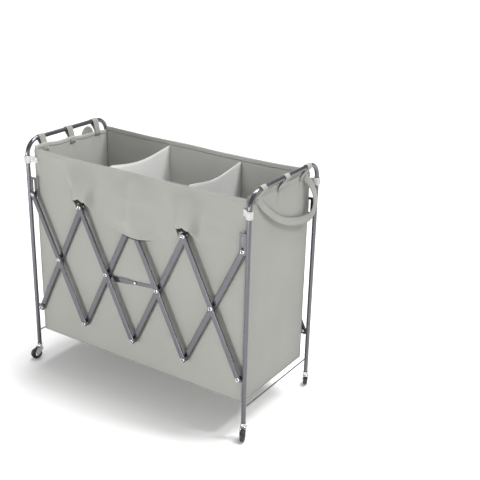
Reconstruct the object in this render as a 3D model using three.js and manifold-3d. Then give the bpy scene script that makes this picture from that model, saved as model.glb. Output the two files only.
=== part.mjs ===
// Folding laundry sorter cart: two tube end frames on casters, joined front and rear by
// four-cell scissor lattices, with a three-compartment fabric bag hung between them.
// Millimetres. +X runs along the cart to the right end, -Y is the front, +Z is up,
// and the origin is on the floor under the centre of the cart.
import * as THREE from "three";
import { mergeVertices } from "three/addons/utils/BufferGeometryUtils.js";
import Module from "manifold-3d";

const wasm = await Module();
wasm.setup();

// End frames: leg centre lines, tube and bends.
const LEG_X = 427.5;
const LEG_Y = 190;
const TUBE_R = 7;
const TUBE_SIDES = 14;
const TUBE_FOOT_Z = 55;
const TOP_BAR_Z = 790;
const BEND_R = 50;
const BEND_STEPS = 5;
const WIRE_R = 2.2;
const WIRE_Z = 107;

// Scissor lattices: four cells between pivots set inboard of the legs.
const CELLS = 4;
const PIVOT_INSET = 20;
const LATTICE_SPAN = 2 * (LEG_X - PIVOT_INSET);
const CELL = LATTICE_SPAN / CELLS;
const LOWER_PIVOT_Z = 203;
const UPPER_PIVOT_Z = 614;
const MIDDLE_PIVOT_Z = (LOWER_PIVOT_Z + UPPER_PIVOT_Z) / 2;
const BAR_RISE = UPPER_PIVOT_Z - LOWER_PIVOT_Z;
const BAR_REACH = Math.hypot(CELL, BAR_RISE) / 2;
const BAR_TILT = Math.atan2(CELL, BAR_RISE);
const BAR_WIDTH = 20;
const BAR_BEVEL = 2.6;

// Layers, measured outward from the cart's middle plane.
const OUTER_LAYER = [192, 200];
const PLATE_LAYER = [188.5, 191.5];
const INNER_LAYER = [180, 188];
const SPACER_LAYER = [188.3, 191.7];
const WIDE_LINK_LAYER = [177.9, 179.1];
const NARROW_LINK_LAYER = [176.4, 177.6];

// Pivot rivets.
const PIN_R = 3;
const PIN_HOLE_R = 3.4;
const HEAD_R = 5.5;
const HEAD_T = 2.4;
const SPACER_R = 6.5;
const GAP = 0.3;

// Guide and lower brackets on the inboard side of each leg.
const PLATE_WIDTH = 23.5;
const PLATE_MARGIN = 11;
const SLOT_R = 3.6;
const PIVOT_RISE = 45.617;

// Lock link between two neighbouring middle pivots of the front lattice.
const LINK_DROP = 20;
const WIDE_LINK_LENGTH = 112;
const WIDE_LINK_WIDTH = 18;
const WIDE_PART = 84;
const NARROW_LINK_WIDTH = 12;
const LINK_PIN_R = 2.5;
const KNEE_HEAD_R = 4;
const KNEE_HEAD_T = 0.6;

// Casters.
const WHEEL_R = 19;
const WHEEL_HALF_WIDTH = 7;
const WHEEL_SIDES = 20;
const TRAIL = 14;
const FORK_INNER = 8.2;
const FORK_T = 1.6;
const AXLE_R = 2.4;
const STEM_R = 4;
const STEM_TOP_Z = 86;

// Bag.
const BAG_X = 409.5;
const BAG_Y = 175;
const BAG_TOP_Z = 765;
const BAG_FLOOR_Z = 113;
const CLOTH = 2;
const HEM_T = 3;
const HEM_HEIGHT = 12;
const STRAP_WIDTH = 25;
const STRAP_Y = [-127, 0, 127];
const TIE_BAND_Z = [716, 740];
const TIE_R = 9.4;
const POCKET_HEIGHT = 188;

const FINISHES = {
  frame: { color: 0x6f7176, roughness: 0.35, metalness: 0.8 },
  chrome: { color: 0xd8dade, roughness: 0.15, metalness: 1 },
  wheel: { color: 0x18181a, roughness: 0.55, metalness: 0 },
  cloth: { color: 0xaeb0a8, roughness: 0.9, metalness: 0 },
  divider: { color: 0xc3c5bf, roughness: 0.9, metalness: 0 },
  strap: { color: 0xc9cbc3, roughness: 0.85, metalness: 0 },
  tie: { color: 0xeeeeea, roughness: 0.8, metalness: 0 },
};

// A closed geometry as a solid, turned outward when its faces point in.
function solid(geometry) {
  const plain = geometry.index ? geometry.toNonIndexed() : geometry.clone();
  plain.deleteAttribute("normal");
  plain.deleteAttribute("uv");
  const merged = mergeVertices(plain, 1e-4);
  const vertProperties = merged.attributes.position.array;
  const triVerts = new Uint32Array(merged.index.array);
  const made = new wasm.Manifold(new wasm.Mesh({ numProp: 3, vertProperties, triVerts }));
  if (made.volume() > 0) return made;
  const turned = new Uint32Array(triVerts).reverse();
  return new wasm.Manifold(new wasm.Mesh({ numProp: 3, vertProperties, triVerts: turned }));
}

function joined(solids) {
  return solids.reduce((sum, next) => sum.add(next));
}

// A named mesh for one piece, in the frame of the group that it is put in.
function piece(name, body, finish) {
  const mesh = body.getMesh();
  const points = new Float32Array(mesh.numVert * 3);
  for (let i = 0; i < mesh.numVert; i++) {
    points.set(mesh.vertProperties.subarray(i * mesh.numProp, i * mesh.numProp + 3), i * 3);
  }
  const geometry = new THREE.BufferGeometry();
  geometry.setAttribute("position", new THREE.BufferAttribute(points, 3));
  geometry.setIndex(new THREE.BufferAttribute(new Uint32Array(mesh.triVerts), 1));
  const drawn = geometry.toNonIndexed();
  drawn.computeVertexNormals();
  const node = new THREE.Mesh(drawn, new THREE.MeshStandardMaterial(finish));
  node.name = name;
  return node;
}

function box([x0, x1], [y0, y1], [z0, z1]) {
  const geometry = new THREE.BoxGeometry(x1 - x0, y1 - y0, z1 - z0);
  return solid(geometry.translate((x0 + x1) / 2, (y0 + y1) / 2, (z0 + z1) / 2));
}

// A depth range on the front (side -1) or rear (side 1), given outward from the middle.
function depth(side, [a, b]) {
  return side > 0 ? [a, b] : [-b, -a];
}

function rodAlongY(x, z, radius, [y0, y1], sides = 12) {
  const geometry = new THREE.CylinderGeometry(radius, radius, y1 - y0, sides);
  return solid(geometry.translate(x, (y0 + y1) / 2, z));
}

function rodAlongZ(x, y, radius, [z0, z1], sides = 16) {
  const geometry = new THREE.CylinderGeometry(radius, radius, z1 - z0, sides);
  return solid(geometry.rotateX(Math.PI / 2).translate(x, y, (z0 + z1) / 2));
}

// An outline drawn in the XZ plane, made solid between two depths.
function plate(outline, [y0, y1], bevel = 0) {
  const geometry = new THREE.ExtrudeGeometry(outline, {
    depth: y1 - y0 - 2 * bevel,
    bevelEnabled: bevel > 0,
    bevelThickness: bevel,
    bevelSize: bevel,
    bevelOffset: -bevel,
    bevelSegments: 1,
    curveSegments: 5,
  });
  return solid(geometry.rotateX(Math.PI / 2).translate(0, y1 - bevel, 0));
}

// A strip with round ends from one pivot to another, reaching past both by half its width.
function stripOutline([x0, z0], [x1, z1], width) {
  const along = Math.atan2(z1 - z0, x1 - x0);
  const outline = new THREE.Shape();
  outline.absarc(x0, z0, width / 2, along + Math.PI / 2, along + 1.5 * Math.PI);
  outline.absarc(x1, z1, width / 2, along - Math.PI / 2, along + Math.PI / 2);
  outline.closePath();
  return outline;
}

function rectangleOutline(x0, x1, z0, z1, corner) {
  const outline = new THREE.Shape();
  outline.absarc(x0 + corner, z0 + corner, corner, Math.PI, 1.5 * Math.PI);
  outline.absarc(x1 - corner, z0 + corner, corner, 1.5 * Math.PI, 2 * Math.PI);
  outline.absarc(x1 - corner, z1 - corner, corner, 0, 0.5 * Math.PI);
  outline.absarc(x0 + corner, z1 - corner, corner, 0.5 * Math.PI, Math.PI);
  outline.closePath();
  return outline;
}

// A closed skin over a row of rings that all hold the same number of points.
function skin(rings) {
  const count = rings[0].length;
  const index = [];
  for (let r = 0; r + 1 < rings.length; r++) {
    for (let i = 0; i < count; i++) {
      const a = r * count + i;
      const b = r * count + ((i + 1) % count);
      index.push(a, b, a + count, b, b + count, a + count);
    }
  }
  const last = (rings.length - 1) * count;
  for (let i = 1; i + 1 < count; i++) {
    index.push(0, i + 1, i, last, last + i, last + i + 1);
  }
  const geometry = new THREE.BufferGeometry();
  geometry.setAttribute(
    "position",
    new THREE.Float32BufferAttribute(rings.flat().flatMap((p) => [p.x, p.y, p.z]), 3),
  );
  geometry.setIndex(index);
  return solid(geometry);
}

function tangentAt(path, i) {
  const before = path[Math.max(i - 1, 0)];
  const after = path[Math.min(i + 1, path.length - 1)];
  return new THREE.Vector3().subVectors(after, before).normalize();
}

// End frames are drawn with their legs at x = 0.
function framePath() {
  const path = [new THREE.Vector3(0, -LEG_Y, TUBE_FOOT_Z)];
  for (const side of [-1, 1]) {
    const centreY = side * (LEG_Y - BEND_R);
    for (let step = 0; step <= BEND_STEPS; step++) {
      const share = side < 0 ? step / BEND_STEPS : 1 - step / BEND_STEPS;
      const angle = (share * Math.PI) / 2;
      const y = centreY + side * BEND_R * Math.cos(angle);
      const z = TOP_BAR_Z - BEND_R + BEND_R * Math.sin(angle);
      path.push(new THREE.Vector3(0, y, z));
    }
  }
  path.push(new THREE.Vector3(0, LEG_Y, TUBE_FOOT_Z));
  return path;
}

function endTube() {
  const path = framePath();
  const acrossX = new THREE.Vector3(1, 0, 0);
  const rings = path.map((point, i) => {
    const isEnd = i === 0 || i === path.length - 1;
    const tangent = isEnd ? new THREE.Vector3(0, 0, i === 0 ? 1 : -1) : tangentAt(path, i);
    const inPlane = new THREE.Vector3().crossVectors(tangent, acrossX);
    return Array.from({ length: TUBE_SIDES }, (_, k) => {
      const turn = (2 * Math.PI * (k + 0.5)) / TUBE_SIDES;
      return point
        .clone()
        .addScaledVector(acrossX, TUBE_R * Math.cos(turn))
        .addScaledVector(inPlane, TUBE_R * Math.sin(turn));
    });
  });
  const sockets = [-LEG_Y, LEG_Y].map((y) =>
    rodAlongZ(0, y, STEM_R + 0.4, [TUBE_FOOT_Z - 1, STEM_TOP_Z + 2]),
  );
  return sockets.reduce((tube, socket) => tube.subtract(socket), skin(rings));
}

function baseWire() {
  const half = LEG_Y - TUBE_R - GAP;
  return rodAlongY(0, WIRE_Z, WIRE_R, [-half, half], 10);
}

// The X range of a bracket plate that stands on the inboard side of a leg.
function plateRange(end) {
  const legSide = -end * (TUBE_R + GAP);
  const free = legSide - end * PLATE_WIDTH;
  return [Math.min(legSide, free), Math.max(legSide, free)];
}

function guideBracket(end, side) {
  const x = -end * PIVOT_INSET;
  const top = UPPER_PIVOT_Z + PIVOT_RISE;
  const [x0, x1] = plateRange(end);
  const outline = rectangleOutline(x0, x1, UPPER_PIVOT_Z - PLATE_MARGIN, top + PLATE_MARGIN, 4);
  const slot = stripOutline([x, UPPER_PIVOT_Z], [x, top], 2 * SLOT_R);
  outline.holes.push(new THREE.Path(slot.getPoints(8).reverse()));
  return plate(outline, depth(side, PLATE_LAYER));
}

function lowerBracket(end, side) {
  const x = -end * PIVOT_INSET;
  const [x0, x1] = plateRange(end);
  const outline = rectangleOutline(
    x0,
    x1,
    LOWER_PIVOT_Z - PLATE_MARGIN,
    LOWER_PIVOT_Z + PLATE_MARGIN,
    4,
  );
  const hole = rodAlongY(x, LOWER_PIVOT_Z, PIN_HOLE_R, depth(side, [180, 200]));
  return plate(outline, depth(side, PLATE_LAYER)).subtract(hole);
}

// Bars are drawn upright about their middle pivot, with these three pivots on them.
const LOW = [0, -BAR_REACH];
const MIDDLE = [0, 0];
const HIGH = [0, BAR_REACH];

// Cells are numbered from the right end.
function cellX(i) {
  return LATTICE_SPAN / 2 - (i - 0.5) * CELL;
}

// A rivet through the given layers, with a head at each end that is asked for.
function rivet([x, z], side, [inner, outer], { innerHead = true, outerHead = true }) {
  const parts = [rodAlongY(x, z, PIN_R, depth(side, [inner, outer]))];
  if (innerHead) parts.push(rodAlongY(x, z, HEAD_R, depth(side, [inner - HEAD_T, inner])));
  if (outerHead) parts.push(rodAlongY(x, z, HEAD_R, depth(side, [outer, outer + HEAD_T])));
  return joined(parts);
}

function spacer([x, z], side) {
  return rodAlongY(x, z, SPACER_R, depth(side, [SPACER_LAYER[0], OUTER_LAYER[0] + 1]));
}

// A bar falling to the right in the outer layer. It carries the rivets of its cell.
function fallingBar(i, side) {
  const atRightLeg = i === 1;
  const atLeftLeg = i === CELLS;
  const throughBars = [INNER_LAYER[0] - GAP, OUTER_LAYER[1]];
  const throughPlate = [PLATE_LAYER[0] - GAP, OUTER_LAYER[1]];
  const parts = [
    plate(stripOutline(LOW, HIGH, BAR_WIDTH), depth(side, OUTER_LAYER), BAR_BEVEL),
    rivet(LOW, side, atRightLeg ? throughPlate : throughBars, {}),
    rivet(MIDDLE, side, middleRivetSpan(i, side), { innerHead: false }),
    rivet(HIGH, side, atLeftLeg ? throughPlate : throughBars, {}),
    spacer(MIDDLE, side),
  ];
  if (!atRightLeg) parts.push(spacer(LOW, side));
  if (!atLeftLeg) parts.push(spacer(HIGH, side));
  return joined(parts);
}

// The middle rivet of cell 2 at the front reaches through the lock link.
function middleRivetSpan(i, side) {
  const carriesLink = i === 2 && side < 0;
  return [carriesLink ? NARROW_LINK_LAYER[0] : INNER_LAYER[0] - GAP, OUTER_LAYER[1]];
}

// A bar rising to the right in the inner layer, bored for the rivets it turns on.
function risingBar(i, side) {
  const atRightLeg = i === 1;
  const atLeftLeg = i === CELLS;
  const bar = plate(stripOutline(LOW, HIGH, BAR_WIDTH), depth(side, INNER_LAYER), BAR_BEVEL);
  const holes = [MIDDLE];
  if (!atLeftLeg) holes.push(LOW);
  if (!atRightLeg) holes.push(HIGH);
  const bored = holes.reduce(
    (rest, [x, z]) => rest.subtract(rodAlongY(x, z, PIN_HOLE_R, depth(side, [170, 195]))),
    bar,
  );
  const parts = [bored];
  const throughPlate = [INNER_LAYER[0], PLATE_LAYER[1] + GAP];
  if (atRightLeg) parts.push(rivet(HIGH, side, throughPlate, {}));
  if (atLeftLeg) parts.push(rivet(LOW, side, throughPlate, {}));
  if (i === 3 && side < 0) parts.push(linkPin());
  return joined(parts);
}

// The wide half of the lock link turns on this pin, a little below a middle pivot.
function linkPin() {
  return rodAlongY(0, -LINK_DROP, LINK_PIN_R, depth(-1, [WIDE_LINK_LAYER[0], INNER_LAYER[0] + 1]));
}

// Lock link: both halves are drawn upright from their own pivot towards the knee.
function linkPlacement() {
  const pinX = cellX(3) - LINK_DROP * Math.sin(BAR_TILT);
  const pinZ = MIDDLE_PIVOT_Z - LINK_DROP * Math.cos(BAR_TILT);
  const reachX = cellX(2) - pinX;
  const reachZ = MIDDLE_PIVOT_Z - pinZ;
  return {
    pin: new THREE.Vector3(pinX, 0, pinZ),
    heading: Math.atan2(reachX, reachZ),
    narrowLength: Math.hypot(reachX, reachZ) - WIDE_LINK_LENGTH,
  };
}

// The shank of the knee rivet is left out, and each half carries the head on its free side.
function kneeHead(z, [y0, y1]) {
  return rodAlongY(0, z, KNEE_HEAD_R, [y0, y1]);
}

function wideLink() {
  const layer = depth(-1, WIDE_LINK_LAYER);
  const wide = plate(stripOutline([0, 0], [0, WIDE_PART], WIDE_LINK_WIDTH), layer);
  const tongue = plate(
    stripOutline([0, WIDE_PART], [0, WIDE_LINK_LENGTH], NARROW_LINK_WIDTH),
    layer,
  );
  const hole = rodAlongY(0, 0, LINK_PIN_R + 0.4, depth(-1, [170, 185]));
  const head = kneeHead(WIDE_LINK_LENGTH, [layer[0] - KNEE_HEAD_T, layer[1]]);
  return wide.add(tongue).subtract(hole).add(head);
}

function narrowLink(length) {
  const layer = depth(-1, NARROW_LINK_LAYER);
  const strip = plate(stripOutline([0, 0], [0, length], NARROW_LINK_WIDTH), layer);
  const hole = rodAlongY(0, 0, PIN_HOLE_R, depth(-1, [170, 185]));
  return strip.subtract(hole).add(kneeHead(length, [layer[0], layer[1] + KNEE_HEAD_T]));
}

// Casters are drawn with the stem at x = y = 0 and the wheel trailing towards +X.
function casterStem() {
  const socket = rodAlongZ(0, 0, 8.5, [45, TUBE_FOOT_Z - GAP]);
  return socket.add(rodAlongZ(0, 0, STEM_R, [50, STEM_TOP_Z]));
}

function casterFork() {
  const outer = FORK_INNER + FORK_T;
  const crown = rodAlongZ(0, 0, 9, [40, 45 - GAP]);
  const bridge = box([-9, 11], [-outer, outer], [39.9, 43]);
  const cheek = new THREE.Shape();
  cheek.moveTo(-9, 43);
  cheek.lineTo(-9, 37);
  cheek.absarc(TRAIL, WHEEL_R, 6, 1.2 * Math.PI, 2 * Math.PI);
  cheek.lineTo(TRAIL + 5, WHEEL_R + 9);
  cheek.lineTo(11, 43);
  cheek.closePath();
  const cheeks = [-1, 1].map((side) => plate(cheek, depth(side, [FORK_INNER, outer])));
  const hole = rodAlongY(TRAIL, WHEEL_R, AXLE_R + GAP, [-outer - 1, outer + 1], 12);
  return joined([crown, bridge, ...cheeks]).subtract(hole);
}

function casterAxle() {
  const shoulder = FORK_INNER + FORK_T + GAP;
  return joined([
    rodAlongY(TRAIL, WHEEL_R, AXLE_R, [-shoulder, shoulder], 12),
    rodAlongY(TRAIL, WHEEL_R, 4.2, [-shoulder - 1.2, -shoulder], 12),
    rodAlongY(TRAIL, WHEEL_R, 4.2, [shoulder, shoulder + 1.2], 12),
  ]);
}

// The wheel stands on one flat of its tread.
function casterWheel() {
  const rim = WHEEL_R / Math.cos(Math.PI / WHEEL_SIDES);
  const bore = AXLE_R + 0.45;
  const profile = [
    [bore, -WHEEL_HALF_WIDTH],
    [rim - 5.5, -WHEEL_HALF_WIDTH],
    [rim - 1.6, -WHEEL_HALF_WIDTH + 0.7],
    [rim, -WHEEL_HALF_WIDTH + 2.6],
    [rim, WHEEL_HALF_WIDTH - 2.6],
    [rim - 1.6, WHEEL_HALF_WIDTH - 0.7],
    [rim - 5.5, WHEEL_HALF_WIDTH],
    [bore, WHEEL_HALF_WIDTH],
    [bore, -WHEEL_HALF_WIDTH],
  ].map(([r, y]) => new THREE.Vector2(r, y));
  const geometry = new THREE.LatheGeometry(profile, WHEEL_SIDES, Math.PI / WHEEL_SIDES);
  return solid(geometry.translate(TRAIL, 0, WHEEL_R));
}

// Bag.
function bagBody() {
  const half = BAG_X - 2;
  const inner = BAG_Y - CLOTH;
  const hull = box([-half, half], [-BAG_Y, BAG_Y], [BAG_FLOOR_Z, BAG_TOP_Z]);
  const inside = [BAG_FLOOR_Z + CLOTH, BAG_TOP_Z + 1];
  return hull.subtract(box([-half - 1, half + 1], [-inner, inner], inside));
}

function convexHull(points) {
  const sorted = [...points].sort((a, b) => a[0] - b[0] || a[1] - b[1]);
  const turn = (o, a, b) => (a[0] - o[0]) * (b[1] - o[1]) - (a[1] - o[1]) * (b[0] - o[0]);
  const chain = (row) =>
    row.reduce((kept, point) => {
      while (kept.length > 1 && turn(kept.at(-2), kept.at(-1), point) <= 0) kept.pop();
      kept.push(point);
      return kept;
    }, []);
  return [...chain(sorted).slice(0, -1), ...chain(sorted.reverse()).slice(0, -1)];
}

function roundPoints(x, z, radius) {
  return Array.from({ length: 20 }, (_, k) => {
    const turn = (2 * Math.PI * k) / 20;
    return [x + radius * Math.cos(turn), z + radius * Math.sin(turn)];
  });
}

// A strap sewn to the end panel and looped over the top bar.
function strapLoop(end, y) {
  const barX = end * LEG_X;
  const panelX = end * BAG_X;
  const toVector = ([x, z]) => new THREE.Vector2(x, z);
  const outer = convexHull([
    ...roundPoints(barX, TOP_BAR_Z, TUBE_R + 2.8),
    [panelX - 1, BAG_TOP_Z - HEM_HEIGHT],
    [panelX + 1, BAG_TOP_Z - HEM_HEIGHT],
  ]);
  const inner = convexHull([
    ...roundPoints(barX, TOP_BAR_Z, TUBE_R + 0.8),
    [panelX + end * 3, BAG_TOP_Z - 2],
  ]);
  const range = [y - STRAP_WIDTH / 2, y + STRAP_WIDTH / 2];
  const loop = plate(new THREE.Shape(outer.map(toVector)), range);
  const clear = plate(new THREE.Shape(inner.map(toVector)), [range[0] - 1, range[1] + 1]);
  return loop.subtract(clear);
}

// An end panel with a folded hem along its top and three strap loops.
function bagEnd(end) {
  const slab = (thickness, zRange) =>
    box(
      [end * BAG_X - thickness / 2, end * BAG_X + thickness / 2],
      [-BAG_Y, BAG_Y],
      zRange,
    );
  const panel = slab(CLOTH, [BAG_FLOOR_Z, BAG_TOP_Z]);
  const hem = slab(HEM_T, [BAG_TOP_Z - HEM_HEIGHT, BAG_TOP_Z]);
  return joined([panel, hem, ...STRAP_Y.map((y) => strapLoop(end, y))]);
}

// A divider hangs slightly slanted, from a front seam to a rear seam.
function divider(frontX, rearX) {
  const y = BAG_Y - CLOTH - 0.7;
  const bottom = BAG_FLOOR_Z + CLOTH + 0.7;
  const corner = (x, depthY, z) => new THREE.Vector3(x, depthY, z);
  const ring = (x, depthY, top) => [
    corner(x - CLOTH / 2, depthY, bottom),
    corner(x + CLOTH / 2, depthY, bottom),
    corner(x + CLOTH / 2, depthY, top),
    corner(x - CLOTH / 2, depthY, top),
  ];
  return skin([ring(frontX, -y, BAG_TOP_Z - 2), ring(rearX, y, BAG_TOP_Z - 42)]);
}

// A flat strap that follows a curve lying nearly in a YZ plane.
function ribbon(controls, width, thickness) {
  const curve = new THREE.CatmullRomCurve3(controls.map((p) => new THREE.Vector3(...p)));
  const path = curve.getPoints(28);
  const face = new THREE.Vector3(1, 0, 0);
  const rings = path.map((point, i) => {
    const across = new THREE.Vector3().crossVectors(face, tangentAt(path, i)).normalize();
    return [
      [-1, -1],
      [1, -1],
      [1, 1],
      [-1, 1],
    ].map(([w, t]) =>
      point
        .clone()
        .addScaledVector(across, (w * width) / 2)
        .addScaledVector(face, (t * thickness) / 2),
    );
  });
  return skin(rings);
}

function rightHandle() {
  return ribbon(
    [
      [412.2, -108, 744],
      [414, -78, 708],
      [419, -12, 660],
      [428, 70, 624],
      [438, 126, 612],
      [441, 158, 640],
      [437, 158, 690],
      [412.6, 116, 744],
    ],
    STRAP_WIDTH,
    CLOTH,
  );
}

function leftHandle() {
  return ribbon(
    [
      [-412.2, -112, 744],
      [-414, -96, 684],
      [-419, -52, 646],
      [-421, 0, 636],
      [-419, 52, 646],
      [-414, 96, 684],
      [-412.2, 112, 744],
    ],
    STRAP_WIDTH,
    CLOTH,
  );
}

// The pocket stands off the left end panel and its mouth sags between the side seams.
function leftPocket() {
  const steps = 16;
  const halfWidth = BAG_Y - 9;
  const face = -BAG_X - CLOTH / 2 - GAP;
  const rings = Array.from({ length: steps + 1 }, (_, i) => {
    const share = i / steps;
    const y = halfWidth * (2 * share - 1);
    const sag = 12 * Math.sin(Math.PI * share) + 5 * Math.sin(3 * Math.PI * share);
    const bulge = 14 * Math.sin(Math.PI * share);
    const top = BAG_FLOOR_Z + POCKET_HEIGHT - sag;
    const foot = BAG_FLOOR_Z + 12;
    return [
      new THREE.Vector3(face, y, foot),
      new THREE.Vector3(face - CLOTH, y, foot),
      new THREE.Vector3(face - CLOTH - bulge, y, top),
      new THREE.Vector3(face - bulge, y, top),
    ];
  });
  return skin(rings);
}

// A band round the leg with a short tab to the corner of the bag.
function legTie(end, side) {
  const y = side * LEG_Y;
  const ring = rodAlongZ(0, y, TIE_R, TIE_BAND_Z, 20);
  const reachX = BAG_X + CLOTH / 2 - LEG_X;
  const reachY = BAG_Y - LEG_Y;
  const reach = Math.hypot(reachX, reachY) - 1;
  const heading = (Math.atan2(side * reachY, end * reachX) * 180) / Math.PI;
  const tab = box([TIE_R - 1.5, reach], [-0.8, 0.8], [TIE_BAND_Z[0] + 3, TIE_BAND_Z[1] - 3]);
  const clear = rodAlongZ(0, y, TUBE_R + 0.8, [TIE_BAND_Z[0] - 1, TIE_BAND_Z[1] + 1]);
  return ring.add(tab.rotate([0, 0, heading]).translate([0, y, 0])).subtract(clear);
}

const ENDS = { left: -1, right: 1 };
const SIDES = { front: -1, rear: 1 };
// Where each wheel trails, in degrees from +X.
const HEADINGS = { left_front: -116, left_rear: 116, right_front: -64, right_rear: 116 };

function casterGroup(corner) {
  const caster = new THREE.Group();
  caster.rotation.z = THREE.MathUtils.degToRad(HEADINGS[corner]);
  caster.add(
    piece(`${corner}_caster_stem`, casterStem(), FINISHES.chrome),
    piece(`${corner}_caster_fork`, casterFork(), FINISHES.chrome),
    piece(`${corner}_caster_axle`, casterAxle(), FINISHES.chrome),
    piece(`${corner}_caster_wheel`, casterWheel(), FINISHES.wheel),
  );
  return caster;
}

function endFrameGroup(endName, end) {
  const frame = new THREE.Group();
  frame.position.x = end * LEG_X;
  frame.add(piece(`${endName}_end_tube`, endTube(), FINISHES.frame));
  frame.add(piece(`${endName}_base_wire`, baseWire(), FINISHES.frame));
  for (const [sideName, side] of Object.entries(SIDES)) {
    const corner = `${endName}_${sideName}`;
    const caster = casterGroup(corner);
    caster.position.y = side * LEG_Y;
    frame.add(
      piece(`${corner}_guide_bracket`, guideBracket(end, side), FINISHES.frame),
      piece(`${corner}_lower_bracket`, lowerBracket(end, side), FINISHES.frame),
      piece(`${corner}_leg_tie`, legTie(end, side), FINISHES.tie),
      caster,
    );
  }
  return frame;
}

function latticeGroup(sideName, side) {
  const lattice = new THREE.Group();
  lattice.position.z = MIDDLE_PIVOT_Z;
  for (let i = 1; i <= CELLS; i++) {
    const falling = piece(`${sideName}_falling_bar_${i}`, fallingBar(i, side), FINISHES.frame);
    const rising = piece(`${sideName}_rising_bar_${i}`, risingBar(i, side), FINISHES.frame);
    falling.position.x = cellX(i);
    falling.rotation.y = -BAR_TILT;
    rising.position.x = cellX(i);
    rising.rotation.y = BAR_TILT;
    lattice.add(falling, rising);
  }
  return lattice;
}

function lockLinkGroup() {
  const link = new THREE.Group();
  const { pin, heading, narrowLength } = linkPlacement();
  const wide = piece("lock_link_wide", wideLink(), FINISHES.frame);
  const narrow = piece("lock_link_narrow", narrowLink(narrowLength), FINISHES.frame);
  wide.position.copy(pin);
  wide.rotation.y = heading;
  narrow.position.set(cellX(2), 0, MIDDLE_PIVOT_Z);
  narrow.rotation.y = heading + Math.PI;
  link.add(wide, narrow);
  return link;
}

function bagGroup() {
  const bag = new THREE.Group();
  bag.add(
    piece("bag_body", bagBody(), FINISHES.cloth),
    piece("bag_left_end", bagEnd(-1), FINISHES.cloth),
    piece("bag_right_end", bagEnd(1), FINISHES.cloth),
    piece("bag_left_divider", divider(-92, -130), FINISHES.divider),
    piece("bag_right_divider", divider(206, 162), FINISHES.divider),
    piece("left_handle", leftHandle(), FINISHES.strap),
    piece("right_handle", rightHandle(), FINISHES.strap),
    piece("left_pocket", leftPocket(), FINISHES.cloth),
  );
  return bag;
}

const cart = new THREE.Group();
for (const [endName, end] of Object.entries(ENDS)) {
  cart.add(endFrameGroup(endName, end));
}
for (const [sideName, side] of Object.entries(SIDES)) {
  cart.add(latticeGroup(sideName, side));
}
cart.add(lockLinkGroup());
cart.add(bagGroup());

export default cart;
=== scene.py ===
"""Looks for the folding laundry sorter cart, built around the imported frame. Metres throughout."""
import math

import bmesh
import bpy
import numpy as np
from mathutils import Matrix, Vector, noise


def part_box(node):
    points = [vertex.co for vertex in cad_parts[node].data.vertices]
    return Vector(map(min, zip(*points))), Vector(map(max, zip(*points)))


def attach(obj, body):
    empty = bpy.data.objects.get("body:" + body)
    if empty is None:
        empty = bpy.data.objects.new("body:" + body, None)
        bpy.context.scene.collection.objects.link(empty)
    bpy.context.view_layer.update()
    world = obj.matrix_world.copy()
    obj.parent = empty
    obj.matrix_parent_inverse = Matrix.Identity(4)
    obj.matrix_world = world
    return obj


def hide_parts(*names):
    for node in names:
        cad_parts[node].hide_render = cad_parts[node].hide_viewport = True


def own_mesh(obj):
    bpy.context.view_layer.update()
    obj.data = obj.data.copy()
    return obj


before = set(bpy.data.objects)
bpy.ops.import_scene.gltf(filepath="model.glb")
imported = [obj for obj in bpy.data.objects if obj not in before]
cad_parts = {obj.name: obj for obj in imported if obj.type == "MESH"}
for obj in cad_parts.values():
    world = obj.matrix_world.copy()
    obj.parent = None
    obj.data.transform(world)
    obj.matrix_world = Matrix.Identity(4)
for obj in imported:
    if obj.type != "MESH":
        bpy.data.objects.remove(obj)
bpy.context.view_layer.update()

ENDS = {"left": -1, "right": 1}
SIDES = {"front": -1, "rear": 1}
CORNERS = [(end, side) for end in ENDS for side in SIDES]

# The way each caster trails, in degrees from +X.
WHEEL_HEADINGS = {
    ("left", "front"): -116,
    ("left", "rear"): 116,
    ("right", "front"): -64,
    ("right", "rear"): 116,
}

# The frame and lattice, as the CAD has them.
LEG_X, LEG_Y = 0.4275, 0.19
TUBE_R, TUBE_FOOT, TOP_BAR_Z, BEND_R = 0.007, 0.055, 0.790, 0.050
WIRE_R, WIRE_Z = 0.0022, 0.107
CELLS, PIVOT_X = 4, 0.4075
CELL = 2 * PIVOT_X / CELLS
LOWER_Z, UPPER_Z = 0.203, 0.614
MIDDLE_Z = (LOWER_Z + UPPER_Z) / 2
OUTER_LAYER, INNER_LAYER = (0.192, 0.200), (0.180, 0.188)
LINK_RIVET_Y, KNEE_FACE_Y = 0.1764, 0.1790
WHEEL_R, WHEEL_TRAIL = 0.019, 0.014

# The bag.
BAG_X, BAG_Y = 0.4085, 0.1735
PANEL_X = 0.4095
BAG_TOP, BAG_FLOOR = 0.765, 0.1145
WALL_HEM, PANEL_HEM = 0.016, 0.014
# The last thickness is that of the near-black sheets of painted shade in the slits and under the flap.
CLOTH_T, SOFT_CLOTH_T, SHADE_SHEET_T = 0.0012, 0.0010, 0.0004
WEB_W, WEB_T, LOOP_T = 0.025, 0.0015, 0.0013


# ---- materials
def new_material(name):
    """A material with its node tree and its shader."""
    mat = bpy.data.materials.new(name)
    mat.use_nodes = True
    return mat, mat.node_tree, mat.node_tree.nodes["Principled BSDF"]


def math_node(tree, operation, first, second=None):
    node = tree.nodes.new("ShaderNodeMath")
    node.operation = operation
    for socket, value in zip(node.inputs, (first, second)):
        if value is None:
            continue
        if isinstance(value, (int, float)):
            socket.default_value = value
        else:
            tree.links.new(value, socket)
    return node.outputs[0]


def noise_node(tree, coords, scale, detail=3.0):
    node = tree.nodes.new("ShaderNodeTexNoise")
    node.inputs["Scale"].default_value = scale
    node.inputs["Detail"].default_value = detail
    tree.links.new(coords, node.inputs["Vector"])
    return node.outputs["Fac"]


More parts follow.
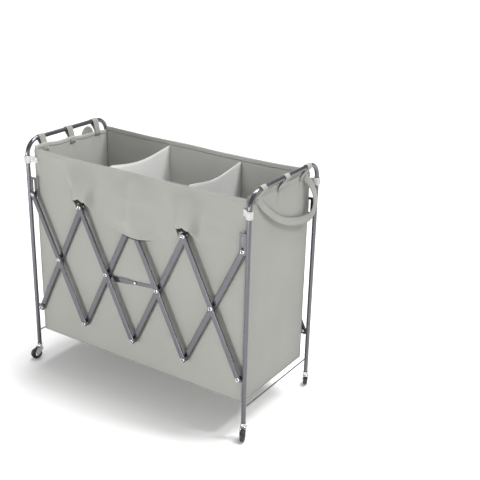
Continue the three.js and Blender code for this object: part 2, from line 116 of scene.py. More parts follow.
def ramp_node(tree, factor, stops):
    """A colour ramp; stops are (position, colour)."""
    node = tree.nodes.new("ShaderNodeValToRGB")
    ramp = node.color_ramp
    while len(ramp.elements) < len(stops):
        ramp.elements.new(0.5)
    for element, (position, color) in zip(ramp.elements, stops):
        element.position = position
        element.color = (*color, 1)
    tree.links.new(factor, node.inputs["Fac"])
    return node.outputs["Color"]


def shade(color, factor):
    return tuple(c * factor for c in color)


def bumpy(tree, shader, height, strength, distance):
    """Roughens a shader's surface by a height."""
    bump = tree.nodes.new("ShaderNodeBump")
    bump.inputs["Strength"].default_value = strength
    bump.inputs["Distance"].default_value = distance
    tree.links.new(height, bump.inputs["Height"])
    tree.links.new(bump.outputs[0], shader.inputs["Normal"])


def woven_height(tree, coords, pitch):
    """Height of a plain weave whose threads run along X, Y and Z, whichever lie in the cloth."""
    split = tree.nodes.new("ShaderNodeSeparateXYZ")
    tree.links.new(coords, split.inputs[0])
    waves = []
    for axis in split.outputs:
        turn = math_node(tree, "MULTIPLY", axis, 2 * math.pi / pitch)
        waves.append(math_node(tree, "SINE", turn))
    pair = math_node(tree, "ADD", waves[0], waves[1])
    return math_node(tree, "ADD", pair, waves[2])


def cloth_material(name, color, pitch, sheen, bump, variation=0.06, roughness=0.88):
    """A plain weave with threads every pitch metres, unevenly toned and worn."""
    mat, tree, shader = new_material(name)
    coords = tree.nodes.new("ShaderNodeTexCoord").outputs["Object"]
    broad = noise_node(tree, coords, 5.0, 2.0)
    fibre = noise_node(tree, coords, 900.0, 2.0)
    mixed = math_node(tree, "ADD", math_node(tree, "MULTIPLY", broad, 0.6),
                      math_node(tree, "MULTIPLY", fibre, 0.4))
    tint = ramp_node(tree, mixed, [
        (0.30, shade(color, 1 - variation)),
        (0.70, shade(color, 1 + variation)),
    ])
    tree.links.new(tint, shader.inputs["Base Color"])
    weave = woven_height(tree, coords, pitch)
    slub = noise_node(tree, coords, 260.0, 3.0)
    height = math_node(tree, "ADD", weave, math_node(tree, "MULTIPLY", slub, 1.6))
    bumpy(tree, shader, height, bump, 0.00025)
    worn = ramp_node(tree, broad, [
        (0.3, (roughness - 0.06,) * 3),
        (0.7, (roughness + 0.06,) * 3),
    ])
    tree.links.new(worn, shader.inputs["Roughness"])
    shader.inputs["Sheen Weight"].default_value = sheen
    shader.inputs["Sheen Roughness"].default_value = 0.5
    shader.inputs["Specular IOR Level"].default_value = 0.25
    return mat


def metal_material(name, color, metallic, roughness, grain_scale, bump, spread=0.08, coat=0.0):
    """A fine-grained hard surface whose gloss varies by spread either way, under a clear coat."""
    mat, tree, shader = new_material(name)
    coords = tree.nodes.new("ShaderNodeTexCoord").outputs["Object"]
    fine = noise_node(tree, coords, grain_scale, 4.0)
    broad = noise_node(tree, coords, 14.0, 3.0)
    tint = ramp_node(tree, fine, [
        (0.25, shade(color, 0.86)),
        (0.75, shade(color, 1.14)),
    ])
    tree.links.new(tint, shader.inputs["Base Color"])
    gloss = ramp_node(tree, broad, [
        (0.3, (roughness - spread,) * 3),
        (0.7, (roughness + spread,) * 3),
    ])
    tree.links.new(gloss, shader.inputs["Roughness"])
    bumpy(tree, shader, fine, bump, 0.0002)
    shader.inputs["Metallic"].default_value = metallic
    shader.inputs["Coat Weight"].default_value = coat
    shader.inputs["Coat Roughness"].default_value = 0.18
    return mat


FRAME_PAINT = metal_material("frame_paint", (0.112, 0.111, 0.124), 0.85, 0.24, 700.0, 0.08, coat=0.25)
CHROME = metal_material("bright_plating", (0.62, 0.62, 0.64), 1.0, 0.13, 300.0, 0.05, 0.05)
WHEEL_BLACK = metal_material("wheel_black", (0.012, 0.012, 0.013), 0.0, 0.46, 900.0, 0.2)
BAG_CLOTH = cloth_material("bag_polyester", (0.258, 0.261, 0.240), 0.0011, 0.18, 0.35)
# Painted light: a lighter copy of the bag cloth for the inside faces, which brightens the shaded inside of
# the bag.
BAG_INSIDE_PAINTED_LIGHT = cloth_material("bag_inside_painted_light", (0.385, 0.39, 0.367), 0.0011, 0.10, 0.25, 0.04)
DIVIDER_CLOTH = cloth_material("divider_lining", (0.53, 0.535, 0.525), 0.0009, 0.15, 0.3)
WEBBING = cloth_material("strap_webbing", (0.262, 0.265, 0.245), 0.0022, 0.25, 0.8, 0.09)
TIE_CLOTH = cloth_material("tie_band", (0.50, 0.50, 0.485), 0.0013, 0.5, 0.6, 0.05)
THREAD = cloth_material("seam_thread", (0.30, 0.30, 0.28), 0.0006, 0.2, 0.4)
# Painted shade: near-black cloth for the sheets that stand in for the shade in the slits and under the flap's
# hem.
PAINTED_SHADE = cloth_material("painted_shade_cloth", (0.012, 0.012, 0.012), 0.0011, 0.0, 0.3)


# ---- mesh helpers
def mesh_object(name, points, faces, material, smooth=True):
    mesh = bpy.data.meshes.new(name)
    mesh.from_pydata([tuple(p) for p in points], [], faces)
    mesh.validate()
    mesh.materials.append(material)
    obj = bpy.data.objects.new(name, mesh)
    bpy.context.scene.collection.objects.link(obj)
    mesh.polygons.foreach_set("use_smooth", [smooth] * len(mesh.polygons))
    return obj


def make_normals_consistent(obj):
    work = bmesh.new()
    work.from_mesh(obj.data)
    bmesh.ops.recalc_face_normals(work, faces=work.faces)
    work.to_mesh(obj.data)
    work.free()


def grid_faces(columns, rows):
    """Quads over a grid of points that was filled row by row."""
    wide = columns + 1
    return [
        (r * wide + c, r * wide + c + 1, (r + 1) * wide + c + 1, (r + 1) * wide + c)
        for r in range(rows)
        for c in range(columns)
    ]


def thicken(obj, thickness):
    """Gives a sheet its thickness, half of it to each side."""
    solid = obj.modifiers.new("thickness", "SOLIDIFY")
    solid.thickness = thickness
    solid.offset = 0
    return obj


def grid_object(name, surface, columns, rows, material, thickness=CLOTH_T):
    """A sheet over surface(u, v), with u and v from 0 to 1."""
    points = [surface(c / columns, r / rows) for r in range(rows + 1) for c in range(columns + 1)]
    return thicken(mesh_object(name, points, grid_faces(columns, rows), material), thickness)


def circle(centre, first, second, radius, sides):
    """Points round a circle in the plane of two unit vectors."""
    return [
        centre + (first * math.cos(a) + second * math.sin(a)) * radius
        for a in (2 * math.pi * k / sides for k in range(sides))
    ]


def loft(name, rings, material, smooth=True):
    """A capped skin over rings that all hold the same number of points."""
    count = len(rings[0])
    points = [p for ring in rings for p in ring]
    faces = [
        (r * count + i, r * count + (i + 1) % count,
         (r + 1) * count + (i + 1) % count, (r + 1) * count + i)
        for r in range(len(rings) - 1)
        for i in range(count)
    ]
    faces.append(tuple(range(count)))
    faces.append(tuple(range((len(rings) - 1) * count, len(rings) * count)))
    obj = mesh_object(name, points, faces, material, smooth)
    make_normals_consistent(obj)
    return obj


def lathe(name, profile, material, origin, axis, sides=40):
    """A turned solid: profile is (radius, distance along axis), closed on the axis or on itself."""
    along = Vector(axis).normalized()
    first = along.orthogonal().normalized()
    second = along.cross(first)
    rings = [
        circle(Vector(origin) + along * distance, first, second, max(radius, 1e-5), sides)
        for radius, distance in profile
    ]
    return loft(name, rings, material)


def joined(name, objects):
    """Several objects made into one piece."""
    bpy.ops.object.select_all(action="DESELECT")
    for obj in objects:
        obj.select_set(True)
    bpy.context.view_layer.objects.active = objects[0]
    bpy.ops.object.join()
    objects[0].name = name
    return objects[0]


def apply_modifiers(obj):
    bpy.context.view_layer.update()
    evaluated = obj.evaluated_get(bpy.context.evaluated_depsgraph_get())
    mesh = bpy.data.meshes.new_from_object(evaluated)
    obj.modifiers.clear()
    obj.data = mesh
    return obj


def paint_inside_lighter(obj, outward):
    """Gives the inside faces of the cloth a lighter copy of its material, painted light that brightens the
    shaded inside of the bag; outward points away from the bag.
    """
    apply_modifiers(obj)
    obj.data.materials.append(BAG_INSIDE_PAINTED_LIGHT)
    away = Vector(outward)
    for polygon in obj.data.polygons:
        polygon.material_index = 1 if polygon.normal.dot(away) < -0.3 else 0


def auto_crease(obj, degrees=50):
    """Edges stay sharp where faces meet at more than the given angle."""
    obj.data.set_sharp_from_angle(angle=math.radians(degrees))


def rounded_edges(obj, width):
    """A fine rounding of an object's sharp edges."""
    bevel = obj.modifiers.new("rounding", "BEVEL")
    bevel.width = width
    bevel.segments = 2
    bevel.limit_method = "ANGLE"
    return bevel


def smoothstep(start, end, value):
    """Rises smoothly from 0 at start to 1 at end; start may be the larger one."""
    t = min(max((value - start) / (end - start), 0.0), 1.0)
    return t * t * (3 - 2 * t)


def tangent_at(path, i):
    return (path[min(i + 1, len(path) - 1)] - path[max(i - 1, 0)]).normalized()


def tube_along(name, path, radius, material, sides=16):
    """A round rod along a path of points."""
    rings = []
    reference = tangent_at(path, 0).orthogonal().normalized()
    for i, point in enumerate(path):
        tangent = tangent_at(path, i)
        reference = (reference - tangent * reference.dot(tangent)).normalized()
        rings.append(circle(point, reference, tangent.cross(reference), radius, sides))
    return loft(name, rings, material)


def strap_axes(path, faces_out, i):
    """Across a strap and out of its broad face, at one point of its path."""
    tangent = tangent_at(path, i)
    across = faces_out[i].cross(tangent).normalized()
    return across, tangent.cross(across).normalized()


def ribbon(name, path, faces_out, cup):
    """A webbing strap; faces_out says where its face looks, and its borders curl in by cup."""
    columns = 6
    points = []
    for i, point in enumerate(path):
        across, normal = strap_axes(path, faces_out, i)
        for k in range(columns + 1):
            share = 2 * k / columns - 1
            points.append(point + across * (share * WEB_W / 2) - normal * (cup * share * share))
    strap = mesh_object(name, points, grid_faces(columns, len(path) - 1), WEBBING)
    return thicken(strap, WEB_T)


def measured(path):
    """A path's points as an array, and how far along the path each one lies."""
    steps = [(after - before).length for before, after in zip(path, path[1:])]
    return np.array([tuple(p) for p in path]), np.cumsum([0] + steps)


def path_length(path):
    return float(measured(path)[1][-1])


def point_along(points, distances, spot):
    return Vector([np.interp(spot, distances, points[:, k]) for k in range(3)])


def smooth_path(controls, steps):
    """Points evenly spread along a Catmull-Rom curve through the controls."""
    knots = [Vector(c) for c in controls]
    knots = [2 * knots[0] - knots[1]] + knots + [2 * knots[-1] - knots[-2]]
    dense = []
    for i in range(1, len(knots) - 2):
        a, b, c, d = knots[i - 1:i + 3]
        for k in range(20):
            t = k / 20
            dense.append(0.5 * (2 * b + (c - a) * t + (2 * a - 5 * b + 4 * c - d) * t * t
                                + (3 * b - a - 3 * c + d) * t ** 3))
    dense.append(knots[-2])
    points, distances = measured(dense)
    return [point_along(points, distances, s) for s in np.linspace(0, distances[-1], steps + 1)]


def stitches(name, path, pitch=0.0042, length=0.0028, radius=0.00032, sides=5):
    """A row of thread dashes along a path, each one a short rod with pointed ends."""
    spots, distances = measured(path)
    points, faces = [], []
    start = pitch / 2
    while start + length < distances[-1]:
        tail = point_along(spots, distances, start)
        tip = point_along(spots, distances, start + length)
        along = (tip - tail).normalized()
        first = along.orthogonal().normalized()
        second = along.cross(first)
        base = len(points)
        points.append(tail)
        for share in (0.2, 0.8):
            points += circle(tail.lerp(tip, share), first, second, radius, sides)
        points.append(tip)
        for k in range(sides):
            a, b = base + 1 + k, base + 1 + (k + 1) % sides
            faces += [(base, b, a), (a, b, b + sides, a + sides),
                      (a + sides, b + sides, base + 1 + 2 * sides)]
        start += pitch
    return mesh_object(name, points, faces, THREAD)


def place(obj, body, slot_name, *nodes):
    """Rides on a body and stands for the CAD nodes given; slot_name is not used."""
    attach(obj, body)
    if nodes:
        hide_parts(*nodes)
    return obj


def place_on_bag(obj, slot_name, *nodes):
    """Rides on the right frame, with a mesh of its own."""
    place(obj, "right_frame", slot_name, *nodes)
    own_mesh(obj)
    return obj


# ---- end frames
def frame_path(x):
    """Up one leg, over the top bar and down the other leg."""
    leg_middle, bend_steps = 0.4, 14
    path = [Vector((x, -LEG_Y, TUBE_FOOT)), Vector((x, -LEG_Y, leg_middle))]
    for side in (-1, 1):
        for step in range(bend_steps + 1):
            share = step / bend_steps if side < 0 else 1 - step / bend_steps
            angle = share * math.pi / 2
            path.append(Vector((
                x,
                side * (LEG_Y - BEND_R + BEND_R * math.cos(angle)),
                TOP_BAR_Z - BEND_R + BEND_R * math.sin(angle),
            )))
    path += [Vector((x, LEG_Y, leg_middle)), Vector((x, LEG_Y, TUBE_FOOT))]
    return path


def build_end_frame(end_name, end):
    body = f"{end_name}_frame"
    tube = tube_along(f"{end_name}_tube_smooth", frame_path(end * LEG_X), TUBE_R, FRAME_PAINT, 32)
    auto_crease(tube, 60)
    place(tube, body, "frame", f"{end_name}_end_tube")
    wire_path = [Vector((end * LEG_X, y, WIRE_Z)) for y in (-0.184, -0.09, 0.09, 0.184)]
    wire = tube_along(f"{end_name}_wire_smooth", wire_path, WIRE_R, FRAME_PAINT, 16)
    auto_crease(wire, 60)
    place(wire, body, "frame", f"{end_name}_base_wire")
    bead = [(0.0, 0.0), (0.0036, 0.0006), (0.0030, 0.0030), (0.0023, 0.0045), (0.0, 0.0046)]
    for side_name, side in SIDES.items():
        root = (end * LEG_X, side * (LEG_Y - TUBE_R + 0.0008), WIRE_Z)
        weld = lathe(f"{end_name}_{side_name}_wire_weld", bead, FRAME_PAINT, root, (0, -side, 0), 16)
        place(weld, body, "frame")


for end_name, end in ENDS.items():
    build_end_frame(end_name, end)


# ---- lattice
def bar_ends(i, falling):
    """Low and high pivots of a bar, as (x, z). Cells are numbered from the right."""
    right = PIVOT_X - (i - 1) * CELL
    left = right - CELL
    if falling:
        return (right, LOWER_Z), (left, UPPER_Z)
    return (left, LOWER_Z), (right, UPPER_Z)


# Half of a bar's section as (half width, depth), with its long edges chamfered.
BAR_SECTION = [
    (0.0068, -0.0040), (0.0072, -0.0040), (0.0098, -0.0016), (0.0100, -0.0010),
    (0.0100, 0.0010), (0.0098, 0.0016), (0.0072, 0.0040), (0.0068, 0.0040),
]


def bar_piece(name, low, high, side, layer):
    """A flattened tube with round ends."""
    along = Vector((high[0] - low[0], 0, high[1] - low[1])).normalized()
    across = Vector((along.z, 0, -along.x))
    mid = side * (layer[0] + layer[1]) / 2
    arc = 16
    rings = []
    for reach, depth in BAR_SECTION:
        ring = []
        for centre, start in ((high, 0.0), (low, math.pi)):
            for k in range(arc + 1):
                turn = start + math.pi * k / arc
                ring.append(
                    Vector((centre[0], mid + depth, centre[1]))
                    + across * (reach * math.cos(turn)) + along * (reach * math.sin(turn))
                )
        rings.append(ring)
    bar = loft(name, rings, FRAME_PAINT)
    auto_crease(bar, 30)
    return bar


def rivet_piece(name, x, z, side, inner, outer, inner_head=True, spacer=False):
    """A plated tubular rivet: a rolled ring round a dark disc of frame paint outside, painted shade for its
    hollow, and a low dome inside.
    """
    shank, head, head_height = 0.003, 0.0055, 0.0024
    if inner_head:
        profile = [(0.0, inner - head_height), (0.0026, inner - head_height + 0.0001),
                   (0.0044, inner - 0.0013), (head - 0.0002, inner - 0.0003), (head, inner)]
    else:
        profile = [(0.0, inner)]
    profile.append((shank, inner))
    if spacer:
        start, stop, washer = INNER_LAYER[1] + 0.0003, OUTER_LAYER[0], 0.0065
        profile += [(shank, start), (washer, start), (washer, stop), (shank, stop)]
    profile += [
        (shank, outer), (0.0069, outer), (0.0070, outer + 0.0005), (0.0063, outer + 0.0010),
        (0.0057, outer + 0.0020), (0.0048, outer + head_height), (0.0039, outer + 0.0021),
        (0.0033, outer + 0.0012), (0.0032, outer + 0.0004), (0.0, outer + 0.0003),
    ]
    ring = lathe(name, profile, CHROME, (x, 0, z), (0, side, 0), 32)
    auto_crease(ring)
    # Painted shade: a dark disc of frame paint over the rivet's hollow, standing for the shade inside it.
    hollow_shade = lathe(f"{name}_core", [
        (0.0, outer + 0.0004), (0.0033, outer + 0.0004), (0.0033, outer + 0.0010),
        (0.0018, outer + 0.0013), (0.0, outer + 0.0014),
    ], FRAME_PAINT, (x, 0, z), (0, side, 0), 20)
    return joined(name, [ring, hollow_shade])


def build_lattice(side_name, side):
    """Four crossed pairs of bars on one side, and the rivets that join them."""
    behind_bars = INNER_LAYER[0] - 0.0003
    between_layers = INNER_LAYER[1] + 0.0002
    outer = OUTER_LAYER[1]
    for i in range(1, CELLS + 1):
        for falling, kind, layer in ((True, "falling", OUTER_LAYER), (False, "rising", INNER_LAYER)):
            low, high = bar_ends(i, falling)
            name = f"{side_name}_{kind}_bar_{i}"
            bar = bar_piece(f"{name}_smooth", low, high, side, layer)
            place(bar, f"{kind}_pair_{i}", "frame", name)
        low, high = bar_ends(i, True)
        middle = ((low[0] + high[0]) / 2, MIDDLE_Z)
        carries_link = i == 2 and side < 0
        rivets = [
            ("low", low, between_layers if i == 1 else behind_bars, True, i != 1),
            ("middle", middle, LINK_RIVET_Y if carries_link else behind_bars, False, True),
            ("high", high, between_layers if i == CELLS else behind_bars, True, i != CELLS),
        ]
        for label, (x, z), inner, inner_head, spacer in rivets:
            rivet = rivet_piece(f"{side_name}_rivet_{label}_{i}", x, z, side, inner, outer,
                                inner_head, spacer)
            place(rivet, f"falling_pair_{i}", "chrome")
    for label, i, which in (("right_slot", 1, 1), ("left_foot", CELLS, 0)):
        x, z = bar_ends(i, False)[which]
        rivet = rivet_piece(f"{side_name}_rivet_{label}", x, z, side, INNER_LAYER[0], OUTER_LAYER[0] - 0.0002)
        place(rivet, f"rising_pair_{i}", "chrome")


for side_name, side in SIDES.items():
    build_lattice(side_name, side)


def build_knee_rivet():
    """A low bright head on the wide half of the lock link, where the two halves overlap."""
    wide_low, wide_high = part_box("lock_link_wide")
    narrow_low, narrow_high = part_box("lock_link_narrow")
    x = (max(wide_low[0], narrow_low[0]) + min(wide_high[0], narrow_high[0])) / 2
    z = (max(wide_low[2], narrow_low[2]) + min(wide_high[2], narrow_high[2])) / 2
    profile = [(0.0, 0.0), (0.0046, 0.0), (0.0045, 0.0004), (0.0034, 0.0008), (0.0, 0.0009)]
    head = lathe("lock_link_knee_rivet", [(radius, KNEE_FACE_Y + rise) for radius, rise in profile],
                 CHROME, (x, 0, z), (0, -1, 0), 24)
    place(head, "wide_link", "chrome")


build_knee_rivet()


# ---- casters
SOCKET_PROFILE = [
    (0.0, 0.045), (0.0070, 0.045), (0.0085, 0.0458), (0.0088, 0.0480), (0.0085, 0.0500),
    (0.0078, 0.0508), (0.0080, 0.0520), (0.0084, 0.0540), (0.0080, 0.0549), (0.0, 0.0549),
]
CROWN_PROFILE = [
    (0.0, 0.0447), (0.0060, 0.0447), (0.0084, 0.0440), (0.0094, 0.0428), (0.0094, 0.0410),
    (0.0088, 0.0400), (0.0, 0.0400),
]
# One half of the axle and of the wheel, from the outer end to the middle.
AXLE_HALF = [(0.0, 0.0113), (0.0026, 0.0113), (0.0040, 0.0106), (0.0042, 0.0101), (0.0024, 0.0101)]
WHEEL_HALF = [
    (0.0029, 0.0070), (0.0062, 0.0070), (0.0070, 0.0062), (0.0080, 0.0050), (0.0128, 0.0050),
    (0.0138, 0.0064), (0.0150, 0.0070), (0.0172, 0.0068), (0.0185, 0.0056), (WHEEL_R, 0.0036),
]
CHEEK_INNER, CHEEK_OUTER = 0.0082, 0.0098
FORK_FRONT, FORK_REAR, FORK_TOP = -0.009, 0.011, 0.0425
BRIDGE_SECTION = [
    (-CHEEK_OUTER, 0.0399), (CHEEK_OUTER, 0.0399), (CHEEK_OUTER, 0.0420), (0.0088, 0.0430),
    (-0.0088, 0.0430), (-CHEEK_OUTER, 0.0420),
]


def mirrored(half):
    """A whole profile from its half on one side of the middle."""
    return [(radius, -distance) for radius, distance in half] + half[::-1]


def caster_point(corner, x, y, z):
    """A point given in the caster's own frame, where the wheel trails towards +X."""
    end_name, side_name = corner
    a = math.radians(WHEEL_HEADINGS[corner])
    return Vector((
        ENDS[end_name] * LEG_X + x * math.cos(a) - y * math.sin(a),
        SIDES[side_name] * LEG_Y + x * math.sin(a) + y * math.cos(a),
        z,
    ))


def fork_cheek(corner, y0, y1):
    """One side of a fork, from the crown down to a round eye for the axle."""
    eye = 0.006
    outline = [(FORK_FRONT, FORK_TOP), (FORK_FRONT, 0.037)]
    outline += [(WHEEL_TRAIL + eye * math.cos(a), WHEEL_R + eye * math.sin(a))
                for a in np.linspace(1.2 * math.pi, 2.05 * math.pi, 14)]
    outline += [(0.019, 0.028), (FORK_REAR, FORK_TOP)]
    rings = [[caster_point(corner, x, y, z) for x, z in outline] for y in (y0, y1)]
    cheek = loft("cheek", rings, CHROME, smooth=False)
    rounded_edges(cheek, 0.0005)
    return cheek


def build_fork(corner, name, foot):
    """A crown on a bridge between two cheeks, as one piece."""
    crown = lathe("crown", CROWN_PROFILE, CHROME, foot, (0, 0, 1), 36)
    auto_crease(crown)
    bridge_rings = [[caster_point(corner, x, y, z) for y, z in BRIDGE_SECTION]
                    for x in (FORK_FRONT, FORK_REAR)]
    bridge = loft("bridge", bridge_rings, CHROME, smooth=False)
    cheeks = [fork_cheek(corner, -CHEEK_OUTER, -CHEEK_INNER), fork_cheek(corner, CHEEK_INNER, CHEEK_OUTER)]
    for cheek in cheeks:
        apply_modifiers(cheek)
    return joined(f"{name}_fork", [crown, bridge, *cheeks])


def build_caster(corner):
    end_name, side_name = corner
    name = f"{end_name}_{side_name}"
    foot = (ENDS[end_name] * LEG_X, SIDES[side_name] * LEG_Y, 0.0)
    socket = lathe(f"{name}_socket", SOCKET_PROFILE, CHROME, foot, (0, 0, 1), 36)
    auto_crease(socket)
    place(socket, f"{end_name}_frame", "chrome", f"{name}_caster_stem")
    place(build_fork(corner, name, foot), f"{name}_swivel", "chrome", f"{name}_caster_fork")

    hub = caster_point(corner, WHEEL_TRAIL, 0, WHEEL_R)
    across = caster_point(corner, WHEEL_TRAIL, 1, WHEEL_R) - hub
    axle = lathe(f"{name}_axle", mirrored(AXLE_HALF), CHROME, hub, across, 28)
    auto_crease(axle)
    place(axle, f"{name}_swivel", "chrome", f"{name}_caster_axle")

    rim = mirrored(WHEEL_HALF)
    wheel = lathe(f"{name}_wheel_tread", rim + rim[:1], WHEEL_BLACK, hub, across, 56)
    auto_crease(wheel)
    place(wheel, f"{name}_wheel", "wheel", f"{name}_caster_wheel")


for corner in CORNERS:
    build_caster(corner)


# ---- the bag's front and back
# The cloth's own slackness: frequency along X and along Z, offset of the pattern, height.
RELIEF_WAVES = [
    (4.2, 4.6, 0, 0.0050),
    (9.0, 7.0, 5, 0.0022),
    (16.0, 2.2, 11, 0.0012),
]


def top_line(x):
    """Height of the bag's top edge along the front and back, slack between its holding points."""
    share = (x + BAG_X) / (2 * BAG_X)
    return BAG_TOP - 0.0045 * math.sin(math.pi * share) - 0.0012 * math.sin(3 * math.pi * share)


def cloth_relief(side, x, z):
    """How far the cloth stands out from its plane; the lattice holds it nearly flat lower down."""
    seed = 3.7 if side < 0 else 9.1
    relief = sum(noise.noise(Vector((x * wide, seed + offset, z * tall))) * height
                 for wide, tall, offset, height in RELIEF_WAVES)
    under_lattice = smoothstep(0.665, 0.625, z)
    relief += 0.0012 * under_lattice
    relief *= smoothstep(0.0, 0.03, BAG_X - abs(x)) * smoothstep(0.0, 0.02, z - BAG_FLOOR)
    return min(relief, 0.0055 - 0.0038 * under_lattice)


def wall_y(side, x, z):
    return side * (BAG_Y + cloth_relief(side, x, z))


def build_wall(side_name, side):
    """The front or back of the bag, its folded hem and the hem's stitches."""
    columns = 200

    def surface(u, v):
        x = -BAG_X + 2 * BAG_X * u
        z = BAG_FLOOR + (top_line(x) - BAG_FLOOR) * v
        return Vector((x, wall_y(side, x, z), z))

    def hem_surface(u, v):
        x = -BAG_X + 2 * BAG_X * u
        z = top_line(x) + 0.0006 - WALL_HEM * (1 - v)
        return Vector((x, wall_y(side, x, z), z))

    wall = grid_object(f"bag_{side_name}_wall", surface, columns, 150, BAG_CLOTH)
    hem = grid_object(f"bag_{side_name}_hem", hem_surface, columns, 5, BAG_CLOTH, 0.0017)
    paint_inside_lighter(wall, (0, side, 0))
    paint_inside_lighter(hem, (0, side, 0))
    stitch_path = []
    for k in range(columns + 1):
        x = -BAG_X + 2 * BAG_X * k / columns
        z = top_line(x) - 0.013
        stitch_path.append(Vector((x, wall_y(side, x, z) + side * 0.0013, z)))
    seam = stitches(f"bag_{side_name}_hem_stitches", stitch_path)
    place_on_bag(wall, "bag_cloth", "bag_body")
    place_on_bag(hem, "bag_cloth")
    place_on_bag(seam, "strap_cloth")


for side_name, side in SIDES.items():
    build_wall(side_name, side)


def floor_surface(u, v):
    """The bag's floor, sagging a little in its middle."""
    x = -BAG_X + 2 * BAG_X * u
    y = -BAG_Y + 2 * BAG_Y * v
    sag = 0.004 * math.sin(math.pi * u) * math.sin(math.pi * v)
    ripple = 0.0012 * noise.noise(Vector((x * 14, y * 9, 2.0)))
    return Vector((x, y, BAG_FLOOR + 0.0006 - sag + ripple * math.sin(math.pi * v)))


bag_floor = grid_object("bag_floor", floor_surface, 120, 40, BAG_CLOTH)
place_on_bag(bag_floor, "bag_cloth")

for side_name, side in SIDES.items():
    edge_y = side * (BAG_Y + 0.0004)
    edge = [Vector((-BAG_X + 2 * BAG_X * k / 60, edge_y, BAG_FLOOR)) for k in range(61)]
    piping = tube_along(f"bag_{side_name}_bottom_piping", edge, 0.0015, BAG_CLOTH, 10)
    place_on_bag(piping, "bag_cloth")


# ---- slits over the lattice tips
SEAM_DROP = 0.004
FLAP_X = (-0.170, 0.205)
# How far the flap stands off the cloth: at each height, (x, distance) across it.
FLAP_PROFILES = [
    (0.566, [(-0.085, 0.0), (-0.058, 0.005), (-0.037, 0.0165), (-0.012, 0.0235), (0.012, 0.0290),
             (0.038, 0.0285), (0.062, 0.019), (0.085, 0.0085), (0.112, 0.0)]),
    (0.614, [(-0.130, 0.0), (-0.085, 0.006), (-0.045, 0.0175), (-0.014, 0.0300), (0.012, 0.0315),
             (0.045, 0.0225), (0.090, 0.0075), (0.150, 0.0)]),
    (0.675, [(-0.160, 0.0), (-0.100, 0.0055), (-0.050, 0.0150), (0.0, 0.0275), (0.055, 0.0160),
             (0.110, 0.0055), (0.190, 0.0)]),
    (0.763, [(-0.165, 0.0), (0.195, 0.0)]),
]


def profile_table(controls):
    """Values of a profile every millimetre across the flap, its corners smoothed."""
    xs = np.arange(FLAP_X[0] - 0.03, FLAP_X[1] + 0.03, 0.001)
    values = np.interp(xs, *zip(*controls))
    for _ in range(3):
        values = np.convolve(values, np.ones(9) / 9, "same")
    return xs, values


FLAP_TABLES = [(z, *profile_table(controls)) for z, controls in FLAP_PROFILES]


def flap_bulge(x, z):
    """The wide flap over the middle tip stands off the cloth by this much, nothing at its borders."""
    z = min(max(z, FLAP_TABLES[0][0]), FLAP_TABLES[-1][0])
    for (z0, xs, low), (z1, _, high) in zip(FLAP_TABLES, FLAP_TABLES[1:]):
        if z <= z1:
            share = smoothstep(z0, z1, z)
            return float(np.interp(x, xs, low) * (1 - share) + np.interp(x, xs, high) * share)
    return 0.0


def flap_hem(x):
    """Height of the flap's lower edge."""
    return 0.5655 + 0.016 * smoothstep(0.075, 0.150, abs(x - 0.020)) - 0.002 * math.cos(x * 12)


def over_cloth(side, x, z, bulge):
    """A point on cloth that stands off the wall, calmer the further it stands off."""
    calm = 1 - 0.85 * min(bulge / 0.028, 1.0)
    return Vector((x, side * (BAG_Y + cloth_relief(side, x, z) * calm + bulge), z))


def build_flap(side_name, side):
    """The wide flap over the middle tip, its stitched hem and, under its edge, a near-black sheet of painted
    shade.
    """
    columns = 120

    def surface(u, v):
        x = FLAP_X[0] + (FLAP_X[1] - FLAP_X[0]) * u
        low = flap_hem(x)
        z = low + (top_line(x) - SEAM_DROP - low) * v
        return over_cloth(side, x, z, flap_bulge(x, z))

    def hem_shade_surface(u, v):
        x = -0.050 + 0.145 * u
        depth = 0.0055 + 0.0060 * math.sin(math.pi * min(u * 1.1, 1.0)) ** 0.5
        z = flap_hem(x) + 0.007 - depth * (1 - v)
        bulge = max(flap_bulge(x, flap_hem(x)) - 0.0012, 0.0)
        return over_cloth(side, x, z, bulge)

    flap = grid_object(f"bag_{side_name}_flap", surface, columns, 60, BAG_CLOTH, SOFT_CLOTH_T)
    hem_path = [surface(k / columns, 0.045) + Vector((0, side * 0.0007, 0)) for k in range(34, 88)]
    seam = stitches(f"bag_{side_name}_flap_stitches", hem_path)
    # A near-black sheet just under the flap's hem: painted shade.
    hem_shade = grid_object(f"bag_{side_name}_flap_fold", hem_shade_surface, 60, 6, PAINTED_SHADE, SHADE_SHEET_T)
    place_on_bag(flap, "bag_cloth")
    place_on_bag(seam, "strap_cloth")
    place_on_bag(hem_shade, "bag_cloth")


HOOD_WIDTH, HOOD_REACH, SLIT_WIDTH = 0.200, 0.0302, 0.047


def hood_lip(dx):
    """Lower edge of a hood: a roof shape over the lattice tip, then down beside the bars."""
    reach = abs(dx)
    return max(0.6420 - 0.46 * reach - 2.2 * max(reach - SLIT_WIDTH / 2, 0.0), 0.588)


def hood_bulge(dx, z):
    """Flat fronted at the lip and wider above it, like cloth pulled over the end of a rod."""
    spread = smoothstep(0.635, 0.740, z)
    width = 0.035 + 0.031 * spread
    power = 4.6 - 2.6 * spread
    fade = (1 - smoothstep(0.650, 0.762, z)) * (1 - smoothstep(0.055, 0.098, abs(dx)))
    return HOOD_REACH * math.exp(-((abs(dx) / width) ** power)) * fade


